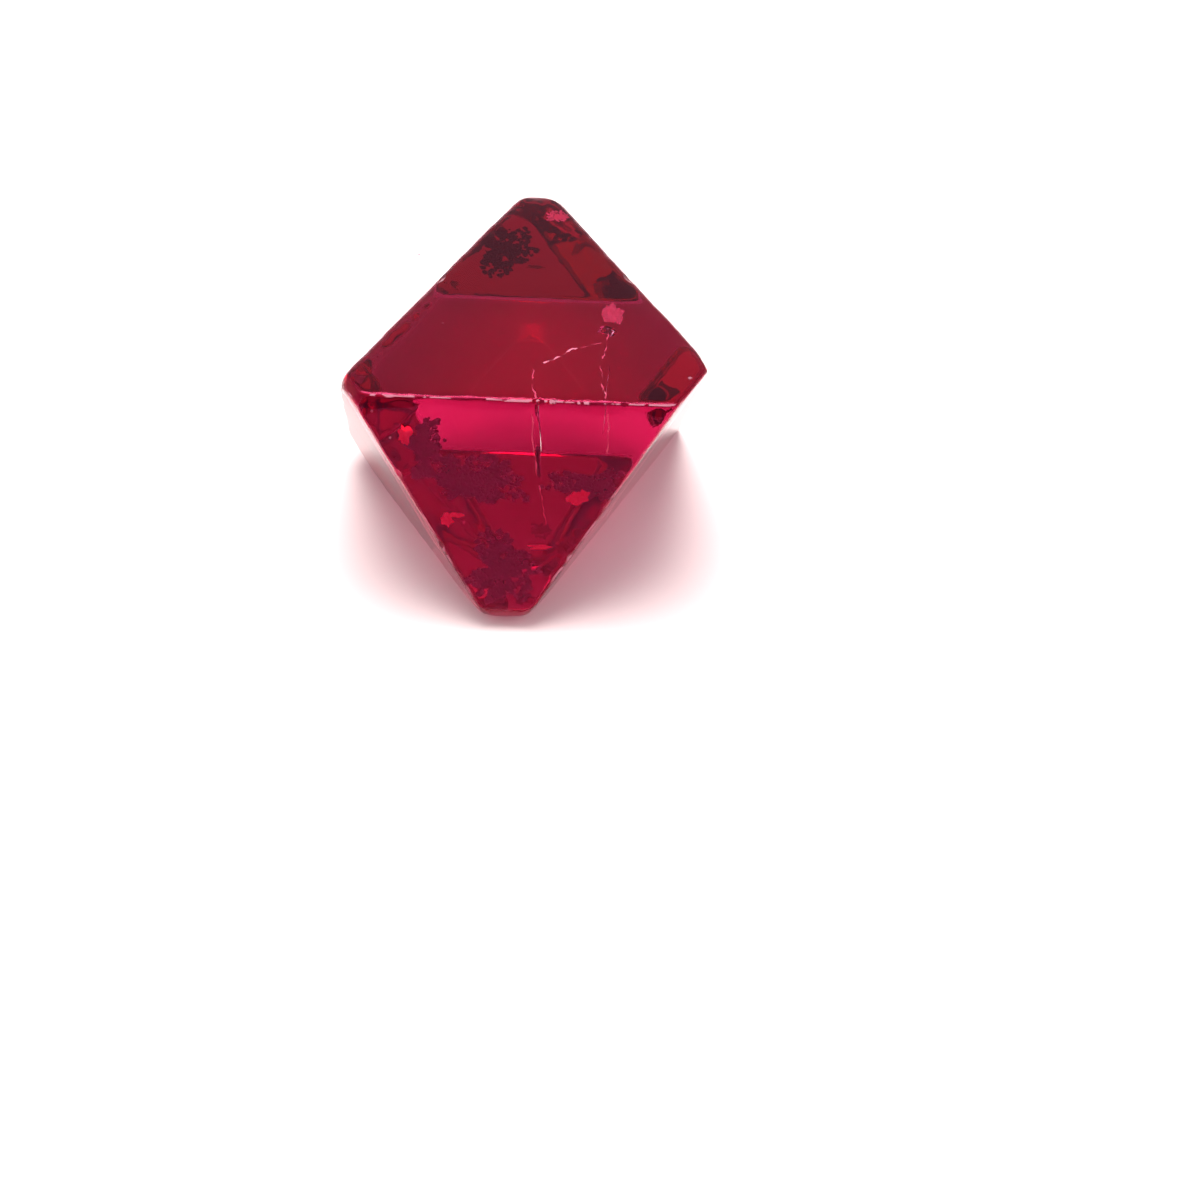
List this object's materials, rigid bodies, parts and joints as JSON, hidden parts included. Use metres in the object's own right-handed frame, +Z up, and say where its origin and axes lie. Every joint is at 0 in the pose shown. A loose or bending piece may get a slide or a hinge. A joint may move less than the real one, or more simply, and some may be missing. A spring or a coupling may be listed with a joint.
{
  "type": "spinel crystal",
  "caption": "Loose deep red spinel crystal, a flattened octahedron with flat glassy faces and worn corners, lying on one face.",
  "frame": {"origin": "on the surface the crystal lies on, under the middle of its box", "axes": "+Z up, square to the top and base faces; +X along the ridge between the top and front faces; the front face looks towards -Y"},
  "size_m": [0.0068, 0.0078, 0.0044],
  "materials": {
    "red_spinel": "clear deep red crystal with glassy flat faces and rubbed edges"
  },
  "bodies": {
    "root": {"spinel_crystal": "red_spinel"}
  },
  "joints": []
}
